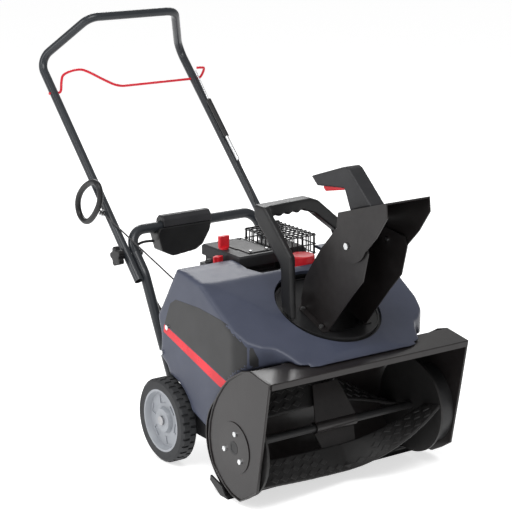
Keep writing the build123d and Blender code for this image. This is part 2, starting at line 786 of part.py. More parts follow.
# clutch linkage above the left leg: rod, sleeved spring, then a thin cable
LINK_X = 208
LINK_PROUD = 26
with BuildPart() as clutch_link:
    add(round_bar(leg_point(LINK_X, 104, 31), leg_point(LINK_X, 206, LINK_PROUD), 2).part)
    add(round_bar(leg_point(LINK_X, 200, LINK_PROUD), leg_point(LINK_X, 400, LINK_PROUD), 6.5).part)
keep(clutch_link, "clutch_link")

cable_route = [
    leg_point(LINK_X, 400.2, LINK_PROUD),
    leg_point(LINK_X - 8, 484, LINK_PROUD + 1),
    (183, 208, 521),
    (170, 158, 459),
    (163, 102, 379),
    (160, 50, 300),
    (164, 0, 235),
    (176, -45, 185),
]
clutch_cable = swept_tube(cable_route, [60, 60, 60, 60, 60, 60], 1.5)
keep(clutch_cable, "clutch_cable")

# ------------------------------------------------------------- starter rope
EYELET = (-132, 40, 366)
GUIDE = (-234, 271, 534)
with BuildPart() as rope_guide:
    with BuildSketch(Plane(origin=GUIDE, z_dir=(-0.3, 0.8, 0.52))):
        Circle(9)
        Circle(4.5, mode=Mode.SUBTRACT)
    extrude(amount=5)
    add(round_bar((-233, 279, 527), (-216, 271, 523), 3).part)
    add(round_bar(leg_point(-UPPER_HALF, 600), leg_point(-UPPER_HALF, 400), UPPER_TUBE_R + 0.1).part, mode=Mode.SUBTRACT)
keep(rope_guide, "rope_guide")

starter_rope = round_bar(EYELET, GUIDE, 2)
keep(starter_rope, "starter_rope")

GRIP_X = -252
with BuildPart() as starter_grip:
    with BuildSketch(Plane.YZ.offset(GRIP_X - 8)):
        with BuildLine():
            Polyline((262, 552), (246, 590), (258, 618), (300, 612), (352, 575), (366, 540), (350, 510), (318, 500), (290, 520), close=True)
        make_face()
        with BuildLine():
            Polyline((276, 556), (262, 588), (270, 602), (296, 596), (340, 564), (350, 540), (342, 522), (320, 516), (298, 532), close=True)
        make_face(mode=Mode.SUBTRACT)
    extrude(amount=16)
keep(starter_grip, "starter_grip")

# ------------------------------------------------------------- switch box
BOX_Y = (196, 240)
with BuildPart() as switch_box:
    with BuildSketch(Plane.XZ.offset(-BOX_Y[1])):
        Polygon((-112, 493), (-120, 479), (-107, 432), (-75, 416), (-9, 423), (13, 435), (35, 470), (40, 493), align=None)
    extrude(amount=BOX_Y[1] - BOX_Y[0])
    with BuildSketch(Plane.YZ):
        with Locations((CROSSBAR_Y, CROSSBAR_Z)):
            Circle(LOWER_TUBE_R + 0.1)
    extrude(amount=200, both=True, mode=Mode.SUBTRACT)
    with BuildSketch(Plane.XZ.offset(-BOX_Y[1] - 1)):
        with Locations((-40, 455)):
            Circle(11.3)
    extrude(amount=13, mode=Mode.SUBTRACT)
keep(switch_box, "switch_box")

with BuildPart() as switch_box_cap:
    with BuildSketch(Plane.YZ.offset(-100)):
        Polygon((198, 493.4), (202, 512), (212, 521), (226, 521), (238, 510), (242, 493.4), align=None)
        with Locations((CROSSBAR_Y, CROSSBAR_Z)):
            Circle(LOWER_TUBE_R + 0.1, mode=Mode.SUBTRACT)
    extrude(amount=142)
keep(switch_box_cap, "switch_box_cap")

with BuildPart() as start_button:
    with BuildSketch(Plane.XZ.offset(-BOX_Y[1] - 4)):
        with Locations((-40, 455)):
            Circle(10.9)
    extrude(amount=9)
keep(start_button, "start_button")

lead_route = [
    (-120, 216, 458),
    (-146, 222, 461),
    (-165, 236, 446),
    (-168, 226, 408),
    (-168, 180, 362),
    (-167, 118, 316),
    (-165, 62, 274),
    (-164, 4, 238),
    (-162, -56, 208),
    (-152, -112, 186),
    (-124, -160, 188),
    (-89.5, -182, 208),
]
starter_lead = swept_tube(lead_route, [14, 16, 20, 26, 32, 40, 40, 40, 30, 26], 3.5)
keep(starter_lead, "starter_lead")

# ------------------------------------------------------------- engine
with BuildPart() as engine_block:
    with BuildSketch(Plane.YZ.offset(-92)):
        with Locations((-60, 268)):
            RectangleRounded(180, 225, 24)
    extrude(amount=212)
    # hollow crankcase
    with BuildSketch(Plane.YZ.offset(-78)):
        with Locations((-60, 268)):
            RectangleRounded(152, 197, 12)
    extrude(amount=184, mode=Mode.SUBTRACT)
    with BuildSketch(Plane.YZ):
        with Locations((CRANK_Y, CRANK_Z)):
            Circle(CRANK_R + RUN_FIT)
    extrude(amount=300, both=True, mode=Mode.SUBTRACT)
keep(engine_block, "engine_block")

with BuildPart() as cylinder_head:
    with BuildSketch(Plane.XZ.offset(150.2)):
        with Locations((10, 335)):
            RectangleRounded(96, 100, 10)
    extrude(amount=60)
    # cooling fins
    for step in range(7):
        with BuildSketch(Plane.XZ.offset(156 + step * 8)):
            with Locations((10, 335)):
                RectangleRounded(118, 112, 12)
        extrude(amount=3)
keep(cylinder_head, "cylinder_head")

with BuildPart() as recoil_housing:
    with BuildSketch(Plane.YZ.offset(-93)):
        with Locations((CRANK_Y, CRANK_Z)):
            Circle(108)
    extrude(amount=-56)
    with BuildSketch(Plane.YZ.offset(-92)):
        with Locations((CRANK_Y, CRANK_Z)):
            Circle(104)
    extrude(amount=-53, mode=Mode.SUBTRACT)
    # eyelet that the rope leaves through
    with BuildSketch(Plane.YZ.offset(-120)):
        Polygon((12, 348), (30, 328), (46, 356), (34, 372), align=None)
    extrude(amount=-26)
    add(round_bar((-122, 16, 350), (-138, 54, 376), 3).part, mode=Mode.SUBTRACT)
    with BuildSketch(Plane.YZ.offset(-148)):
        with Locations((CRANK_Y, CRANK_Z)):
            Circle(8)
    extrude(amount=22)
    # cooling slots in the cover
    with BuildSketch(Plane.YZ.offset(-150)):
        with Locations((CRANK_Y, CRANK_Z)):
            with PolarLocations(78, 12):
                Rectangle(36, 10)
    extrude(amount=6, mode=Mode.SUBTRACT)
keep(recoil_housing, "recoil_housing")

with BuildPart() as recoil_spool:
    with BuildSketch(Plane.XZ.offset(-CRANK_Y)):
        with BuildLine():
            Polyline(
                (-143, CRANK_Z + 8 + RUN_FIT),
                (-143, CRANK_Z + 58),
                (-141, CRANK_Z + 58),
                (-139, CRANK_Z + 48),
                (-133, CRANK_Z + 48),
                (-131, CRANK_Z + 58),
                (-129, CRANK_Z + 58),
                (-129, CRANK_Z + 8 + RUN_FIT),
                close=True,
            )
        make_face()
    revolve(axis=Axis((0, CRANK_Y, CRANK_Z), (1, 0, 0)))
keep(recoil_spool, "recoil_spool")

with BuildPart() as crankshaft:
    with BuildSketch(Plane.YZ.offset(-122)):
        with Locations((CRANK_Y, CRANK_Z)):
            Circle(CRANK_R)
    extrude(amount=122 + BELT_X + 8)
keep(crankshaft, "crankshaft")

COVER_TOP = 492
CHOKE = (-92, -58)
SHELF_TOP = 462
KEY = (-127, -86)
PRIMER = (-127, -50)
with BuildPart() as engine_cover:
    with BuildSketch(Plane.XY.offset(COVER_TOP - 26)):
        Polygon((-108, 14), (-108, -148), (8, -148), (8, 14), align=None)
    extrude(amount=26)
    chamfer(engine_cover.faces().sort_by(Axis.Z)[-1].edges(), 4)
    with BuildSketch(Plane.XY.offset(COVER_TOP - 30)):
        Polygon((-105, 11), (-105, -145), (5, -145), (5, 11), align=None)
    extrude(amount=26.5, mode=Mode.SUBTRACT)
    # control shelf on the right
    with BuildSketch(Plane.XY.offset(430)):
        Polygon((-143, -32), (-143, -106), (-108, -106), (-108, -32), align=None)
    extrude(amount=SHELF_TOP - 430)
    with BuildSketch(Plane.XY.offset(430)):
        Polygon((-108, -32), (-108, -106), (-105, -106), (-105, -32), align=None)
    extrude(amount=50)
    with BuildSketch(Plane.XY.offset(450)):
        with Locations(CHOKE):
            Circle(BOLT_R + RUN_FIT)
    extrude(amount=60, mode=Mode.SUBTRACT)
    with BuildSketch(Plane.XY.offset(440)):
        with Locations(KEY):
            Circle(3 + RUN_FIT)
        with Locations(PRIMER):
            Circle(11.4)
    extrude(amount=30, mode=Mode.SUBTRACT)
keep(engine_cover, "engine_cover")

with BuildPart() as choke_knob:
    with BuildSketch(Plane.XY.offset(COVER_TOP + 0.4)):
        with Locations(CHOKE):
            Circle(12)
    extrude(amount=5)
    with BuildSketch(Plane.XY.offset(COVER_TOP + 5)):
        with Locations(CHOKE):
            RectangleRounded(29, 11, 4)
    extrude(amount=27)
    with BuildSketch(Plane.XY.offset(COVER_TOP - 18)):
        with Locations(CHOKE):
            Circle(BOLT_R)
    extrude(amount=19)
keep(choke_knob, "choke_knob")

with BuildPart() as primer_bulb:
    with BuildSketch(Plane.XY.offset(SHELF_TOP - 10)):
        with Locations(PRIMER):
            Circle(11)
    extrude(amount=19)
    fillet(primer_bulb.faces().sort_by(Axis.Z)[-1].edges(), 7)
keep(primer_bulb, "primer_bulb")

with BuildPart() as ignition_key:
    with BuildSketch(Plane.XY.offset(SHELF_TOP - 14)):
        with Locations(KEY):
            Circle(3)
    extrude(amount=20)
    with BuildSketch(Plane.XY.offset(SHELF_TOP + 5)):
        with Locations(KEY):
            RectangleRounded(26, 9, 4)
            Circle(8)
    extrude(amount=18)
keep(ignition_key, "ignition_key")

FILLER = (50, -183)
with BuildPart() as fuel_tank:
    with BuildSketch(Plane.XY.offset(396)):
        with Locations((5, -184)):
            RectangleRounded(206, 62, 20)
    extrude(amount=58)
    fillet(fuel_tank.faces().sort_by(Axis.Z)[-1].edges(), 12)
    with BuildSketch(Plane.XY.offset(450)):
        with Locations(FILLER):
            Circle(20)
    extrude(amount=22)
keep(fuel_tank, "fuel_tank")

with BuildPart() as fuel_cap:
    with BuildSketch(Plane.XY.offset(460)):
        with Locations(FILLER):
            Circle(29)
            Circle(20.4, mode=Mode.SUBTRACT)
    extrude(amount=14)
    with BuildSketch(Plane.XY.offset(472.4)):
        with Locations(FILLER):
            Circle(29)
    extrude(amount=12)
    fillet(fuel_cap.faces().sort_by(Axis.Z)[-1].edges(), 4)
keep(fuel_cap, "fuel_cap")

MUFFLER = (71, -60)
GUARD_FOOT = 381
GUARD_SKIRT = 462
GUARD_TOP = 516
GUARD_SIZE = (114, 152)
WIRE = 4
MESH = 16
with BuildPart() as muffler:
    with BuildSketch(Plane.XY.offset(412)):
        with Locations(MUFFLER):
            RectangleRounded(88, 130, 22)
    extrude(amount=72)
    fillet(muffler.faces().sort_by(Axis.Z)[-1].edges(), 16)
    with BuildSketch(Plane.XY.offset(GUARD_FOOT)):
        with Locations(MUFFLER):
            Circle(20)
    extrude(amount=32)
    with BuildSketch(Plane.XY.offset(GUARD_FOOT)):
        with Locations(MUFFLER):
            Circle(14)
    extrude(amount=40, mode=Mode.SUBTRACT)
    with BuildSketch(Plane.XY.offset(415)):
        with Locations(MUFFLER):
            RectangleRounded(80, 122, 18)
    extrude(amount=60, mode=Mode.SUBTRACT)
keep(muffler, "muffler")

with BuildPart() as muffler_guard:
    with BuildSketch(Plane.XY.offset(GUARD_SKIRT)):
        with Locations(MUFFLER):
            RectangleRounded(GUARD_SIZE[0], GUARD_SIZE[1], 24)
            RectangleRounded(GUARD_SIZE[0] - 5, GUARD_SIZE[1] - 5, 21.5, mode=Mode.SUBTRACT)
    extrude(amount=GUARD_TOP - GUARD_SKIRT)
    with BuildSketch(Plane.XY.offset(GUARD_TOP - 2.5)):
        with Locations(MUFFLER):
            RectangleRounded(GUARD_SIZE[0] - 2, GUARD_SIZE[1] - 2, 23)
    extrude(amount=2.5)
    with BuildSketch(Plane.XY.offset(GUARD_TOP - 4)):
        with Locations(MUFFLER):
            with GridLocations(MESH, MESH, 6, 8):
                Rectangle(MESH - WIRE, MESH - WIRE)
    extrude(amount=8, mode=Mode.SUBTRACT)
    with BuildSketch(Plane.XZ.offset(-30)):
        with Locations((MUFFLER[0], 486)):
            with GridLocations(MESH, 18, 5, 2):
                Rectangle(MESH - WIRE, 13)
    extrude(amount=180, mode=Mode.SUBTRACT)
    with BuildSketch(Plane.YZ.offset(MUFFLER[0] - 64)):
        with Locations((MUFFLER[1], 486)):
            with GridLocations(MESH, 18, 7, 2):
                Rectangle(MESH - WIRE, 13)
    extrude(amount=140, mode=Mode.SUBTRACT)
    # feet down to the engine
    for side in (-1, 1):
        with BuildSketch(Plane.XY.offset(GUARD_FOOT)):
            with Locations((MUFFLER[0] + side * (GUARD_SIZE[0] / 2 - 1.25), MUFFLER[1])):
                Rectangle(2.5, 20)
        extrude(amount=GUARD_SKIRT - GUARD_FOOT + 1)
keep(muffler_guard, "muffler_guard")

with BuildPart() as starter_motor:
    with BuildSketch(Plane.YZ.offset(-88)):
        with Locations((-184, 215)):
            Circle(32)
    extrude(amount=120)
    with BuildSketch(Plane.YZ.offset(-84)):
        with Locations((-184, 215)):
            Circle(28)
    extrude(amount=112, mode=Mode.SUBTRACT)
    with BuildSketch(Plane.YZ.offset(-60)):
        with Locations((-151.2, 215)):
            Rectangle(2, 40)
    extrude(amount=60)
keep(starter_motor, "starter_motor")
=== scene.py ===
"""Looks of the single stage snowblower: finishes, soft shapes, cords, decals, floor, light and camera."""

import json
from math import cos, pi, radians, sin

import bmesh
import bpy
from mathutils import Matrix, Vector


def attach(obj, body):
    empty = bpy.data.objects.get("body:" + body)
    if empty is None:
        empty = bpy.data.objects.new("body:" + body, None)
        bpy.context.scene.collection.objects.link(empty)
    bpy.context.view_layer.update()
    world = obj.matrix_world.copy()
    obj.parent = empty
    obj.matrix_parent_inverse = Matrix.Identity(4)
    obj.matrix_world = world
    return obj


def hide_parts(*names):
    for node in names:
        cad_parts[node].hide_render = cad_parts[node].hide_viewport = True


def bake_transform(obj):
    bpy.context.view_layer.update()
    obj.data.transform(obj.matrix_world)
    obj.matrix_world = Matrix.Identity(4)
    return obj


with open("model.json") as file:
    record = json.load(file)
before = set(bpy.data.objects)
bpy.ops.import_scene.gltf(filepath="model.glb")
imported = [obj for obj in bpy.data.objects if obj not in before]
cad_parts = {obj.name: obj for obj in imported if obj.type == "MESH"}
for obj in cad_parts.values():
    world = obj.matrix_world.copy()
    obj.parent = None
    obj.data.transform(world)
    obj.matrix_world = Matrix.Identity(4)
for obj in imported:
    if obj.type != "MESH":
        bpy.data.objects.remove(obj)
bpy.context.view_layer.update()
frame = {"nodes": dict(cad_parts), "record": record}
MM = 0.001
BODY_OF = {node: body for body, group in frame["record"]["behaviour"]["bodies"].items() for node in group}


# ---------------------------------------------------------------- finishes
def finish_nodes(name):
    """A new material with its node tree, shader and object coordinates."""
    material = bpy.data.materials.new(name)
    material.use_nodes = True
    tree = material.node_tree
    shader = tree.nodes["Principled BSDF"]
    coords = tree.nodes.new("ShaderNodeTexCoord")
    return material, tree, shader, coords.outputs["Object"]


def noise(tree, coords, scale, detail=4, rough=0.55):
    """Fractal noise over the piece; scale is per metre."""
    node = tree.nodes.new("ShaderNodeTexNoise")
    node.inputs["Scale"].default_value = scale
    node.inputs["Detail"].default_value = detail
    node.inputs["Roughness"].default_value = rough
    tree.links.new(coords, node.inputs["Vector"])
    return node.outputs["Fac"]


def ramp(tree, factor, low, high, start=0.35, end=0.65):
    """Blends two colours over part of a factor's range."""
    node = tree.nodes.new("ShaderNodeValToRGB")
    node.color_ramp.elements[0].position = start
    node.color_ramp.elements[1].position = end
    node.color_ramp.elements[0].color = (*low, 1)
    node.color_ramp.elements[1].color = (*high, 1)
    tree.links.new(factor, node.inputs["Fac"])
    return node.outputs["Color"]


def spread(tree, factor, low, high):
    """Maps a factor of 0 to 1 onto a range."""
    node = tree.nodes.new("ShaderNodeMapRange")
    node.inputs["To Min"].default_value = low
    node.inputs["To Max"].default_value = high
    tree.links.new(factor, node.inputs["Value"])
    return node.outputs["Result"]


def mix(tree, factor, first, second):
    """Mixes two colours by a factor."""
    node = tree.nodes.new("ShaderNodeMix")
    node.data_type = "RGBA"
    tree.links.new(factor, node.inputs["Factor"])
    tree.links.new(first, node.inputs["A"])
    tree.links.new(second, node.inputs["B"])
    return node.outputs["Result"]


def bump(tree, shader, height, distance, strength=1.0, below=None):
    """Adds relief of that depth, in metres, over any relief already there."""
    node = tree.nodes.new("ShaderNodeBump")
    node.inputs["Distance"].default_value = distance
    node.inputs["Strength"].default_value = strength
    tree.links.new(height, node.inputs["Height"])
    if below is not None:
        tree.links.new(below, node.inputs["Normal"])
    tree.links.new(node.outputs["Normal"], shader.inputs["Normal"])
    return node.outputs["Normal"]


def edge_wear_and_highlight(tree, coords, body, edge, amount):
    """Lightens a colour along sharp edges, unevenly: partly wear, partly a painted highlight where light catches the
    edges.
    """
    geometry = tree.nodes.new("ShaderNodeNewGeometry")
    sharp = tree.nodes.new("ShaderNodeMapRange")
    sharp.inputs["From Min"].default_value = 0.52
    sharp.inputs["From Max"].default_value = 0.62
    sharp.inputs["To Max"].default_value = amount
    tree.links.new(geometry.outputs["Pointiness"], sharp.inputs["Value"])
    patchy = tree.nodes.new("ShaderNodeMath")
    patchy.operation = "MULTIPLY"
    tree.links.new(sharp.outputs["Result"], patchy.inputs[0])
    tree.links.new(noise(tree, coords, 60), patchy.inputs[1])
    colour = ramp(tree, noise(tree, coords, 200), edge, edge)
    return mix(tree, patchy.outputs["Value"], body, colour)


def moulded(name, colour, rough=0.45, grain=1400, depth=0.00004, drift=0.12, wear_and_highlight=0.0):
    """Moulded plastic or rubber: fine grain, faint cloudiness and scuffs."""
    material, tree, shader, coords = finish_nodes(name)
    dark = tuple(c * (1 - drift) for c in colour)
    light = tuple(min(1, c * (1 + drift) + 0.002) for c in colour)
    body = ramp(tree, noise(tree, coords, 14), dark, light)
    # lighter sharp edges: partly wear, partly a painted highlight
    if wear_and_highlight:
        body = edge_wear_and_highlight(tree, coords, body, tuple(min(1, c * 2.2 + 0.03) for c in colour), wear_and_highlight)
    tree.links.new(body, shader.inputs["Base Color"])
    scuffs = noise(tree, coords, 45, 6, 0.7)
    tree.links.new(spread(tree, scuffs, rough - 0.08, rough + 0.12), shader.inputs["Roughness"])
    bump(tree, shader, noise(tree, coords, grain, 3), depth)
    shader.inputs["Specular IOR Level"].default_value = 0.28
    return material


def painted(name, colour, rough=0.32, coat=0.35, peel=0.00005, wear_and_highlight=0.25, drift=0.1):
    """Painted or powder coated steel: orange peel under a thin clear gloss, brighter along edges, partly from wear
    and partly as a painted highlight.
    """
    material, tree, shader, coords = finish_nodes(name)
    dark = tuple(c * (1 - drift) for c in colour)
    light = tuple(min(1, c * (1 + drift) + 0.001) for c in colour)
    body = ramp(tree, noise(tree, coords, 9), dark, light)
    body = edge_wear_and_highlight(tree, coords, body, tuple(min(1, c * 1.8 + 0.05) for c in colour), wear_and_highlight)
    tree.links.new(body, shader.inputs["Base Color"])
    tree.links.new(spread(tree, noise(tree, coords, 30, 5), rough - 0.06, rough + 0.1), shader.inputs["Roughness"])
    relief = bump(tree, shader, noise(tree, coords, 420, 2), peel)
    bump(tree, shader, noise(tree, coords, 2600, 2), peel / 3, below=relief)
    shader.inputs["Specular IOR Level"].default_value = 0.25
    shader.inputs["Coat Weight"].default_value = coat * 0.5
    shader.inputs["Coat Roughness"].default_value = 0.18
    return material


def metal(name, colour, rough=0.28, stretch=(1, 1, 1), depth=0.00002):
    """Bare or plated metal with fine drawn lines and tarnish."""
    material, tree, shader, coords = finish_nodes(name)
    place = tree.nodes.new("ShaderNodeMapping")
    place.inputs["Scale"].default_value = stretch
    tree.links.new(coords, place.inputs["Vector"])
    lines = noise(tree, place.outputs["Vector"], 700, 3)
    tarnish = ramp(tree, noise(tree, coords, 55, 6), tuple(c * 0.72 for c in colour), colour)
    tree.links.new(tarnish, shader.inputs["Base Color"])
    shader.inputs["Metallic"].default_value = 1.0
    tree.links.new(spread(tree, lines, rough - 0.08, rough + 0.14), shader.inputs["Roughness"])
    bump(tree, shader, lines, depth)
    return material


def braid(name, colour):
    """Braided cord: crossed diagonal strands."""
    material, tree, shader, coords = finish_nodes(name)
    wave = tree.nodes.new("ShaderNodeTexWave")
    wave.bands_direction = "DIAGONAL"
    wave.inputs["Scale"].default_value = 300
    wave.inputs["Distortion"].default_value = 2
    tree.links.new(coords, wave.inputs["Vector"])
    strands = ramp(tree, wave.outputs["Fac"], tuple(c * 0.4 for c in colour), colour)
    tree.links.new(strands, shader.inputs["Base Color"])
    bump(tree, shader, wave.outputs["Fac"], 0.0003)
    shader.inputs["Roughness"].default_value = 0.75
    return material


HOUSING_BLACK = (0.010, 0.008, 0.008)
SLATE = (0.050, 0.057, 0.086)
# where a finish lightens its edges, that is partly wear and partly a painted highlight
FINISH = {
    "housing_paint": painted("satin_black_paint", HOUSING_BLACK, rough=0.3, coat=0.5),
    "hood_plastic": moulded("slate_blue_moulding", SLATE, rough=0.36, grain=1800, depth=0.00003, drift=0.05),
    "black_plastic": moulded("black_moulding", (0.010, 0.010, 0.0105), rough=0.38, wear_and_highlight=0.3),
    "chute_plastic": moulded("chute_moulding", (0.009, 0.0075, 0.0075), rough=0.34, grain=900, wear_and_highlight=0.35),
    "handle_tube": painted("dark_grey_powder_coat", (0.022, 0.025, 0.029), rough=0.3, coat=0.4, wear_and_highlight=0.15),
    "red_paint": painted("red_powder_coat", (0.60, 0.014, 0.03), rough=0.25, coat=0.6, wear_and_highlight=0.1),
    "red_plastic": moulded("red_moulding", (0.62, 0.018, 0.028), rough=0.33, drift=0.08),
    "bright_zinc": metal("bright_zinc_plate", (0.78, 0.79, 0.8), rough=0.26),
    "shaft_steel": metal("turned_steel", (0.42, 0.42, 0.43), rough=0.34, stretch=(8, 1, 1)),
    "auger_rubber": moulded("auger_rubber", (0.011, 0.0105, 0.0105), rough=0.5, grain=700, depth=0.00012, wear_and_highlight=0.25),
    "tyre_rubber": moulded("tyre_rubber", (0.028, 0.029, 0.031), rough=0.66, grain=800, depth=0.00015, wear_and_highlight=0.2),
    "rim_plastic": moulded("silver_grey_moulding", (0.30, 0.315, 0.34), rough=0.36, grain=1500, drift=0.06),
    "engine_alloy": metal("cast_alloy", (0.34, 0.34, 0.35), rough=0.5, depth=0.0002),
    "engine_black": painted("engine_black_paint", (0.011, 0.011, 0.012), rough=0.42, coat=0.2),
    "cover_grey": moulded("dark_grey_moulding", (0.022, 0.022, 0.024), rough=0.42, grain=1000, depth=0.00008),
    "wire_black": painted("black_wire_coat", (0.014, 0.014, 0.015), rough=0.35, coat=0.3, wear_and_highlight=0.1),
    "belt_rubber": moulded("belt_rubber", (0.02, 0.02, 0.02), rough=0.7),
    "rope_nylon": braid("braided_nylon", (0.07, 0.07, 0.072)),
}
DECAL_CHARCOAL = moulded("decal_charcoal", (0.020, 0.020, 0.021), rough=0.3, grain=2600, depth=0.00001)
DECAL_RED = moulded("decal_red", (0.66, 0.016, 0.03), rough=0.28, grain=2600, depth=0.00001)

# how round the edges of each carried-over part are, in millimetres
EDGE = {
    "side_plate_right": 1.4, "side_plate_left": 1.4, "auger_housing": 0.9, "chute": 1.2, "deflector": 1.3,
    "chute_base": 2.0, "chute_ring": 1.2, "engine_cover": 1.5, "rim_right": 1.2, "rim_left": 1.2, "tyre_right": 1.2,
    "tyre_left": 1.2, "muffler_guard": 0.4, "drive_belt": 0.6, "scraper_bar": 1.0, "chassis": 1.2,
    "recoil_housing": 2.5, "auger_discs": 1.6, "paddle_plates": 0.9, "knob_right": 2.6, "knob_left": 2.6,
    "choke_knob": 1.6, "ignition_key": 1.6, "cylinder_head": 0.6,
}


def round_edges(piece, width, steps=3, angle=28):
    """Rounds a part's sharp edges with a modifier, which leaves its mesh as it is."""
    rounding = piece.modifiers.new("rounded_edges", "BEVEL")
    rounding.width = width * MM
    rounding.segments = steps
    rounding.limit_method = "ANGLE"
    rounding.angle_limit = radians(angle)
    rounding.use_clamp_overlap = True
    rounding.harden_normals = False
    shading = piece.modifiers.new("weighted_normals", "WEIGHTED_NORMAL")
    shading.keep_sharp = False


SLOT_OF = {entry["node"]: entry["material_slot"] for entry in frame["record"]["subparts"]}
ROUND_BARS = {"upper_handle", "lower_handle", "control_bail"}
DARK_NODES = {"chute_ring", "auger_shaft", "auger_bearings"}
for node, piece in frame["nodes"].items():
    piece.data.materials.clear()
    piece.data.materials.append(FINISH["black_plastic" if node in DARK_NODES else SLOT_OF[node]])
    if node not in ROUND_BARS:
        round_edges(piece, EDGE.get(node, 0.7))


# ---------------------------------------------------------------- mesh helpers
def add_piece(name, mesh, body, material, stands_for=(), sharp=40):
    """Puts a mesh into the scene as one piece that moves with a body, or with none if it runs between two."""
    mesh.materials.clear()
    mesh.materials.append(material)
    mesh.shade_smooth()
    mesh.set_sharp_from_angle(angle=radians(sharp))
    piece = bpy.data.objects.new(name, mesh)
    bpy.context.scene.collection.objects.link(piece)
    if stands_for:
        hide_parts(*stands_for)
    if body:
        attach(piece, body)
    return piece


def from_bmesh(name, build):
    """A mesh from a bmesh, which is freed."""
    mesh = bpy.data.meshes.new(name)
    bmesh.ops.recalc_face_normals(build, faces=build.faces)
    build.to_mesh(mesh)
    build.free()
    return mesh


def settled(piece):
    """The mesh of a piece with its modifiers applied."""
    graph = bpy.context.evaluated_depsgraph_get()
    return bpy.data.meshes.new_from_object(piece.evaluated_get(graph))


def prism(build, outline, low, high, axis="x"):
    """A closed prism of an outline given in millimetres. Its axis is x (y, z), y (x, z) or z (x, y)."""
    order = {"x": lambda a, b, h: (h, a, b), "y": lambda a, b, h: (a, h, b), "z": lambda a, b, h: (a, b, h)}[axis]
    ends = []
    for height in (low, high):
        ends.append([build.verts.new(Vector(order(a, b, height)) * MM) for a, b in outline])
    build.faces.new(ends[0])
    build.faces.new(list(reversed(ends[1])))
    count = len(outline)
    for i in range(count):
        j = (i + 1) % count
        build.faces.new((ends[0][i], ends[1][i], ends[1][j], ends[0][j]))


def solid(name, outline, low, high, axis="x"):
    """A loose object made of one prism, used to shape others."""
    build = bmesh.new()
    prism(build, outline, low, high, axis)
    piece = bpy.data.objects.new(name, from_bmesh(name, build))
    bpy.context.scene.collection.objects.link(piece)
    return piece


def cut(piece, tool, operation="DIFFERENCE"):
    """Applies one boolean to a piece and drops the tool."""
    step = piece.modifiers.new("cut", "BOOLEAN")
    step.operation = operation
    step.solver = "EXACT"
    step.object = tool
    mesh = settled(piece)
    piece.modifiers.remove(step)
    piece.data = mesh
    bpy.data.objects.remove(tool)


def rounded_copy(source, voxel, rounds):
    """A mesh like the source's with its edges and corners melted round."""
    copy = bpy.data.objects.new("copy", source.data.copy())
    bpy.context.scene.collection.objects.link(copy)
    remesh = copy.modifiers.new("remesh", "REMESH")
    remesh.mode = "VOXEL"
    remesh.voxel_size = voxel * MM
    relax = copy.modifiers.new("relax", "SMOOTH")
    relax.factor = 0.5
    relax.iterations = rounds
    mesh = settled(copy)
    bpy.data.objects.remove(copy)
    return mesh


def soften(node, voxel, rounds, name, material=None):
    """Replaces a moulded part with the same form with generous radii."""
    mesh = rounded_copy(frame["nodes"][node], voxel, rounds)
    return add_piece(name, mesh, BODY_OF[node], material or FINISH[SLOT_OF[node]], (node,), sharp=60)


# ---------------------------------------------------------------- moulded grips, knobs and boxes
soften("grab_handle", 2.4, 24, "grab_handle_moulding")
soften("deflector_handle", 1.8, 20, "deflector_handle_moulding")
soften("deflector_trigger", 1.2, 5, "deflector_trigger_moulding")
soften("switch_box", 2.0, 14, "switch_box_moulding")
soften("switch_box_cap", 1.6, 6, "switch_box_cap_moulding")
soften("knob_right", 1.1, 5, "knob_right_moulding")
soften("knob_left", 1.1, 5, "knob_left_moulding")
soften("fuel_tank", 2.4, 20, "fuel_tank_moulding")
soften("auger_bands", 2.4, 5, "auger_band_rubber")

# ---------------------------------------------------------------- hood
HOOD_HALF = 262
WHEEL = (-73, 101.6)
ARCH_R = 113
SIDE_VIEW = [(-500, 322), (-486, 342), (-455, 359), (-225, 467), (-150, 480), (-115, 482), (-56, 391), (-28, 350)]
SIDE_VIEW += [(-44, 300), (-37, 251), (-64, 238)]
SIDE_VIEW += [
    (WHEEL[0] + ARCH_R * cos(radians(a)), WHEEL[1] + ARCH_R * sin(radians(a))) for a in range(94, 164, 10)
]
SIDE_VIEW += [(-240, 129), (-255, 160), (-290, 222), (-332, 266), (-376, 301), (-447, 330)]
HALF_PLAN = [(262, 60), (262, -350), (250, -385), (226, -408), (200, -422), (184, -445), (172, -475), (146, -496)]
PLAN = HALF_PLAN + [(0, -502)] + [(-x, y) for x, y in reversed(HALF_PLAN)]
CHUTE_AT = Vector((0, -348, 397))
CHUTE_UP = Vector((0, -sin(radians(20)), cos(radians(20))))
RING_V = Vector((0, cos(radians(20)), sin(radians(20))))
DISH_R = 127.5
OPENING = [(-111, 60), (-111, -185), (-91, -217), (104, -217), (134, -180), (134, 60)]


def ring_point(radius, angle, height):
    """A point about the chute's axis; angle 0 is +X and 90 is up the ring's slope."""
    turned = Vector((1, 0, 0)) * cos(angle) * radius + RING_V * sin(angle) * radius
    return CHUTE_AT + turned + CHUTE_UP * height


def disc(name, radius, low, high, steps=96):
    """A loose round tool about the chute's axis."""
    build = bmesh.new()
    rims = []
    for height in (low, high):
        rims.append([build.verts.new(ring_point(radius, 2 * pi * i / steps, height) * MM) for i in range(steps)])
    build.faces.new(rims[0])
    build.faces.new(list(reversed(rims[1])))
    for i in range(steps):
        j = (i + 1) % steps
        build.faces.new((rims[0][i], rims[0][j], rims[1][j], rims[1][i]))
    piece = bpy.data.objects.new(name, from_bmesh(name, build))
    bpy.context.scene.collection.objects.link(piece)
    return piece


